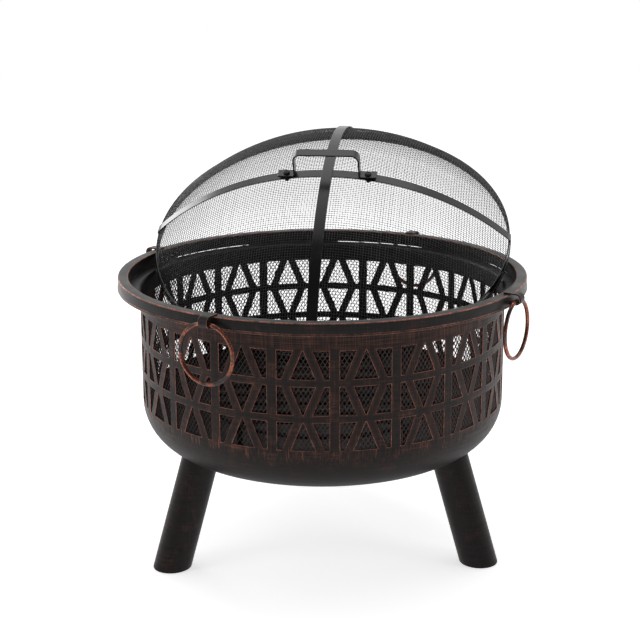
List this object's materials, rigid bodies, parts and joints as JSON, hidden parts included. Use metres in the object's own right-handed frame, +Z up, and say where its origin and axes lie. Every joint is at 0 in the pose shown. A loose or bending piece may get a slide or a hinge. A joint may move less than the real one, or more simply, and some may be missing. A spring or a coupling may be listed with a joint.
{
  "type": "fire pit",
  "caption": "Deep round steel fire pit on splayed tube legs, pierced mesh-backed wall, ring handles, inner log grate and a domed wire spark screen leaning in its mouth.",
  "frame": {"origin": "on the floor, under the middle of the whole outline; the bowl's upright axis stands 37.8 mm in front of it because the leaning screen overhangs at the back", "axes": "+Z up, -Y towards the front where the screen's low edge sits, +X to the right as seen from the front"},
  "size_m": [0.7519, 0.8275, 0.7362],
  "materials": {
    "bronze_steel": "antique oil-rubbed bronze, satin, with copper rubbed through on edges",
    "bronze_mesh": "satin dark bronze on expanded metal",
    "copper_bronze": "copper-red rubbed bronze, satin",
    "black_steel": "heat-resistant satin black",
    "screen_black": "heat-resistant satin charcoal black",
    "screen_wire": "satin black woven wire"
  },
  "bodies": {
    "pit": {"bowl": "bronze_steel", "mesh_liner": "bronze_mesh", "rim_ring": "bronze_steel", "rim_welds": "black_steel", "leg_1": "bronze_steel", "leg_2": "bronze_steel", "leg_3": "bronze_steel", "leg_plate_1": "bronze_steel", "leg_plate_2": "bronze_steel", "leg_plate_3": "bronze_steel", "leg_foot_caps": "bronze_steel", "leg_bolts": "black_steel", "leg_nuts": "black_steel", "ring_bracket_1": "copper_bronze", "ring_bracket_2": "copper_bronze", "ring_bracket_3": "copper_bronze", "ring_bracket_4": "copper_bronze"},
    "ring_1": {"ring_handle_1": "copper_bronze"},
    "ring_2": {"ring_handle_2": "copper_bronze"},
    "ring_3": {"ring_handle_3": "copper_bronze"},
    "ring_4": {"ring_handle_4": "copper_bronze"},
    "grate": {"log_grate_ring": "black_steel", "log_grate_bars": "black_steel", "log_grate_feet": "black_steel"},
    "screen": {"screen_base_ring": "screen_black", "screen_band": "screen_black", "screen_mesh": "screen_wire", "screen_strap_side": "screen_black", "screen_strap_front_back": "screen_black", "screen_handle": "screen_black", "screen_handle_screws": "screen_black", "screen_handle_nuts": "screen_black"}
  },
  "joints": [
    {"name": "ring_handle_1_swing", "type": "hinge", "parent": "pit", "child": "ring_1", "pos_m": [-0.18983, -0.37334, 0.50151], "axis": [-0.8704, 0.4924, 0], "range_deg": [-18, 150]},
    {"name": "ring_handle_2_swing", "type": "hinge", "parent": "pit", "child": "ring_2", "pos_m": [0.33552, -0.22765, 0.50151], "axis": [-0.4924, -0.8704, 0], "range_deg": [-18, 150]},
    {"name": "ring_handle_3_swing", "type": "hinge", "parent": "pit", "child": "ring_3", "pos_m": [0.18983, 0.2977, 0.50151], "axis": [0.8704, -0.4924, 0], "range_deg": [-18, 150]},
    {"name": "ring_handle_4_swing", "type": "hinge", "parent": "pit", "child": "ring_4", "pos_m": [-0.33552, 0.15201, 0.50151], "axis": [0.4924, 0.8704, 0], "range_deg": [-18, 150]},
    {"name": "log_grate_lift", "type": "slide", "parent": "pit", "child": "grate", "axis": [0, 0, 1], "range_m": [0, 0.36]},
    {"name": "screen_lift", "type": "slide", "parent": "grate", "child": "screen", "axis": [0, 0, 1], "range_m": [0, 0.3]}
  ]
}
